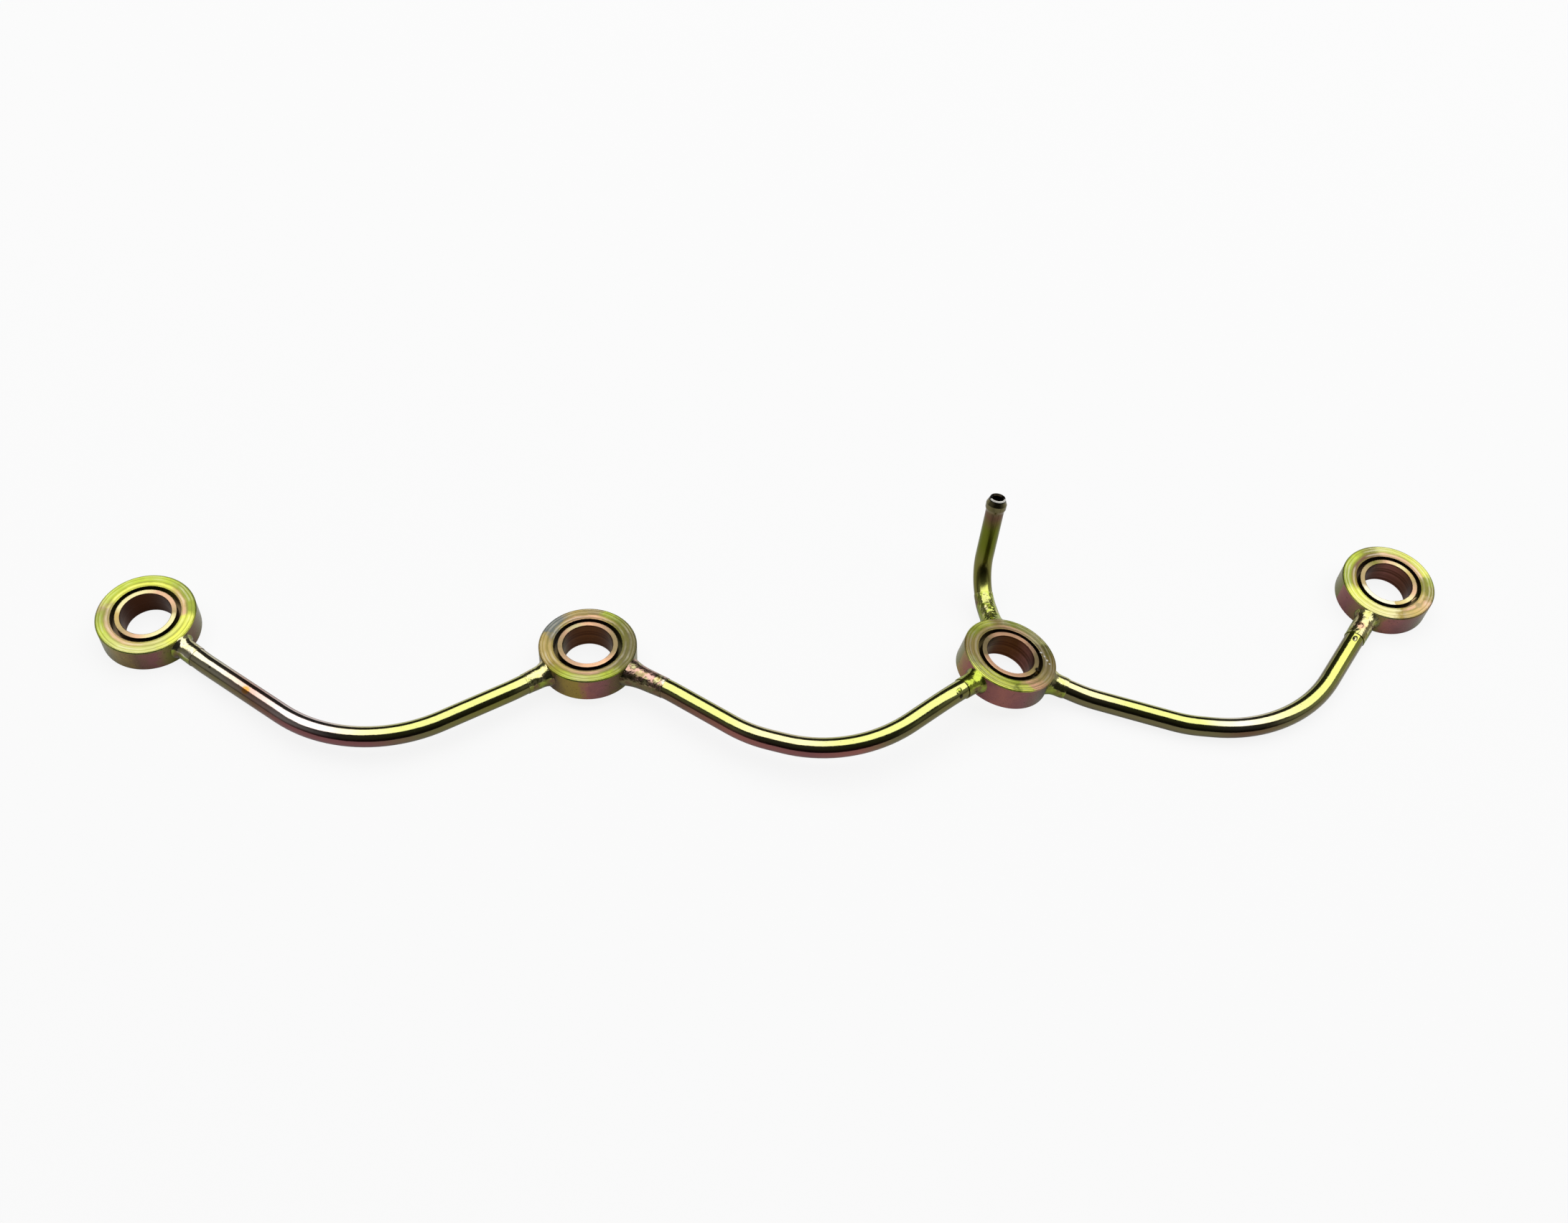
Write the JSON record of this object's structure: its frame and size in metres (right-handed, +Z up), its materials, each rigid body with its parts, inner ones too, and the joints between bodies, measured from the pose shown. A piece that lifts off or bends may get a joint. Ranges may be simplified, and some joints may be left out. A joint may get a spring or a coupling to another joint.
{
  "type": "fuel return pipe",
  "caption": "Rigid fuel return rail: turned ring eyes seat over the injectors, joined by bowed brazed steel tubes, with an upright outlet tube ending in a hose bead.",
  "frame": {"origin": "centre of the first eye's bore, half-way through its thickness", "axes": "+X along the rail towards the fourth eye, the tubes bow towards -Y, +Z up along the first eye's bore, out of the grooved faces"},
  "size_m": [0.4096, 0.0759, 0.0359],
  "materials": {
    "eyes": "turned steel with yellow passivated zinc",
    "tubes": "drawn steel tube with yellow passivated zinc",
    "braze": "smooth braze metal under yellow passivated zinc"
  },
  "bodies": {
    "root": {"eye_1": "eyes", "eye_2": "eyes", "eye_3": "eyes", "eye_4": "eyes", "link_tube_1": "tubes", "link_tube_2": "tubes", "link_tube_3": "tubes", "outlet_tube": "tubes", "braze_eye_1": "braze", "braze_eye_2_left": "braze", "braze_eye_2_right": "braze", "braze_eye_3_left": "braze", "braze_eye_3_right": "braze", "braze_eye_3_outlet": "braze", "braze_eye_4": "braze"}
  },
  "joints": []
}
